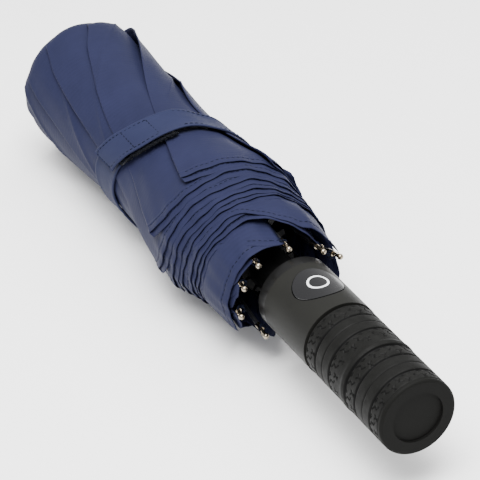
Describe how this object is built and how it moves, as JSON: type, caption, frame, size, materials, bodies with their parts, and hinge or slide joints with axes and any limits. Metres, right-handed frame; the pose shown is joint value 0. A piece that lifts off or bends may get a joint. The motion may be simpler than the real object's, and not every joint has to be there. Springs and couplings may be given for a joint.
{
  "type": "folding umbrella",
  "caption": "Closed folding umbrella, rolled and strapped, with a ribbed rubber grip, a push button, a telescoping shaft and folded steel ribs inside.",
  "frame": {"origin": "centre of the recessed floor in the handle's end cap, on the shaft's axis", "axes": "+Y along the shaft from the end cap to the crown, +Z out of the push button, lying on its side"},
  "size_m": [0.0684, 0.3196, 0.0679],
  "materials": {
    "canopy_fabric": "navy polyester taffeta, plain weave, low sheen",
    "hook_and_loop": "black hook-and-loop pile",
    "handle_plastic": "soft-touch satin black",
    "grip_rubber": "moulded rubber with tread grooves",
    "gloss_black_plastic": "polished black",
    "inner_plastic": "moulded nylon",
    "pale_inlay": "printed pale grey",
    "shaft_steel": "black electro-coated tube",
    "rib_steel": "zinc plated",
    "tip_steel": "nickel plated",
    "spring_steel": "plain drawn wire"
  },
  "bodies": {
    "handle": {"handle_shell": "handle_plastic", "rubber_grip": "grip_rubber", "end_cap": "handle_plastic", "collar_ring": "gloss_black_plastic", "tube_socket": "inner_plastic", "socket_pin": "rib_steel", "inner_tube": "shaft_steel", "inner_tube_stop": "inner_plastic", "opening_spring": "spring_steel", "button_cradle": "inner_plastic", "button_springs": "spring_steel"},
    "button": {"push_button": "gloss_black_plastic", "button_mark": "pale_inlay", "latch_plate": "spring_steel"},
    "middle_shaft": {"middle_tube": "shaft_steel", "middle_bush": "inner_plastic"},
    "canopy": {"outer_tube": "shaft_steel", "outer_bush": "inner_plastic", "crown_notch": "inner_plastic", "crown_cap": "gloss_black_plastic", "runner": "inner_plastic", "hinge_wires": "rib_steel", "stretchers": "rib_steel", "rib_joints": "rib_steel", "rib_tips": "tip_steel", "canopy_roll": "canopy_fabric", "closure_strap": "canopy_fabric", "loop_patch": "hook_and_loop", "inner_rib_01": "rib_steel", "inner_rib_02": "rib_steel", "inner_rib_03": "rib_steel", "inner_rib_04": "rib_steel", "inner_rib_05": "rib_steel", "inner_rib_06": "rib_steel", "inner_rib_07": "rib_steel", "inner_rib_08": "rib_steel", "inner_rib_09": "rib_steel", "inner_rib_10": "rib_steel", "middle_rib_01": "rib_steel", "middle_rib_02": "rib_steel", "middle_rib_03": "rib_steel", "middle_rib_04": "rib_steel", "middle_rib_05": "rib_steel", "middle_rib_06": "rib_steel", "middle_rib_07": "rib_steel", "middle_rib_08": "rib_steel", "middle_rib_09": "rib_steel", "middle_rib_10": "rib_steel", "outer_rib_01": "rib_steel", "outer_rib_02": "rib_steel", "outer_rib_03": "rib_steel", "outer_rib_04": "rib_steel", "outer_rib_05": "rib_steel", "outer_rib_06": "rib_steel", "outer_rib_07": "rib_steel", "outer_rib_08": "rib_steel", "outer_rib_09": "rib_steel", "outer_rib_10": "rib_steel"},
    "strap_end": {"strap_tab": "canopy_fabric", "hook_patch": "hook_and_loop"}
  },
  "joints": [
    {"name": "button_press", "type": "slide", "parent": "handle", "child": "button", "axis": [0, 0, -1], "range_m": [0, 0.0025], "stiffness_N_per_m": 600, "springref_m": -0.002, "deforming": ["button_springs"]},
    {"name": "shaft_lower_slide", "type": "slide", "parent": "handle", "child": "middle_shaft", "axis": [0, 1, 0], "range_m": [0, 0.175]},
    {"name": "shaft_upper_slide", "type": "slide", "parent": "middle_shaft", "child": "canopy", "axis": [0, 1, 0], "range_m": [0, 0.175]},
    {"name": "strap_peel", "type": "hinge", "parent": "canopy", "child": "strap_end", "pos_m": [-0.00769, 0.208, 0.03086], "axis": [0, 1, 0], "range_deg": [0, 100]}
  ],
  "couplings": [
    {"joint": "shaft_upper_slide", "follows": "shaft_lower_slide", "ratio": 1}
  ]
}
